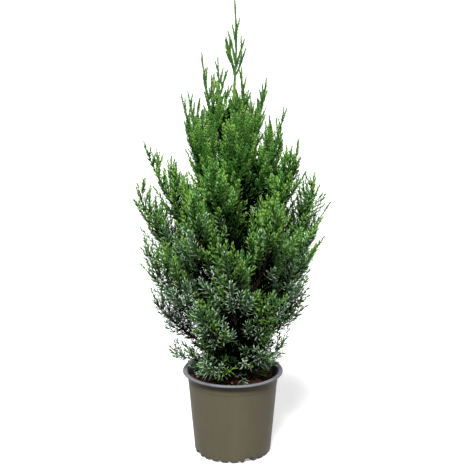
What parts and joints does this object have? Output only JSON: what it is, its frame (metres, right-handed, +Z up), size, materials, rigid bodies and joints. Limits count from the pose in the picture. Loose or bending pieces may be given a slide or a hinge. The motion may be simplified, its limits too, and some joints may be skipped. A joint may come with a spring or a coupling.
{
  "type": "potted juniper",
  "caption": "Young upright juniper: a pointed crown of dense needle-leaved plumes round one stem, in a thin tapered nursery pot with a rolled rim and notched foot.",
  "frame": {"origin": "middle of the pot's flat underside", "axes": "+Z up along the stem, -Y towards the side that the picture shows, +X to the right as seen from there"},
  "size_m": [0.3293, 0.3141, 0.759],
  "materials": {
    "pot": "satin",
    "compost": "matte",
    "bark": "matte",
    "foliage": "matte"
  },
  "bodies": {
    "root": {"bough_belly_1": "bark", "bough_belly_2": "bark", "bough_belly_3": "bark", "bough_belly_4": "bark", "bough_belly_5": "bark", "bough_belly_6": "bark", "bough_low_1": "bark", "bough_low_2": "bark", "bough_low_3": "bark", "bough_low_4": "bark", "bough_low_5": "bark", "bough_low_6": "bark", "bough_shoulder_1": "bark", "bough_shoulder_2": "bark", "bough_shoulder_3": "bark", "bough_shoulder_4": "bark", "bough_shoulder_5": "bark", "bough_shoulder_6": "bark", "compost": "compost", "foliage_belly_1": "foliage", "foliage_belly_2": "foliage", "foliage_belly_3": "foliage", "foliage_belly_4": "foliage", "foliage_belly_5": "foliage", "foliage_belly_6": "foliage", "foliage_crest_1": "foliage", "foliage_crest_2": "foliage", "foliage_crest_3": "foliage", "foliage_crest_4": "foliage", "foliage_leader": "foliage", "foliage_low_1": "foliage", "foliage_low_2": "foliage", "foliage_low_3": "foliage", "foliage_low_4": "foliage", "foliage_low_5": "foliage", "foliage_low_6": "foliage", "foliage_shoulder_1": "foliage", "foliage_shoulder_2": "foliage", "foliage_shoulder_3": "foliage", "foliage_shoulder_4": "foliage", "foliage_shoulder_5": "foliage", "foliage_shoulder_6": "foliage", "foliage_skirt_1": "foliage", "foliage_skirt_2": "foliage", "foliage_skirt_3": "foliage", "foliage_skirt_4": "foliage", "foliage_skirt_5": "foliage", "foliage_skirt_6": "foliage", "foliage_spire_1": "foliage", "foliage_spire_2": "foliage", "foliage_spire_3": "foliage", "foliage_spire_4": "foliage", "foliage_spire_5": "foliage", "foliage_upper_1": "foliage", "foliage_upper_2": "foliage", "foliage_upper_3": "foliage", "foliage_upper_4": "foliage", "foliage_upper_5": "foliage", "pot": "pot", "trunk": "bark"}
  },
  "joints": []
}
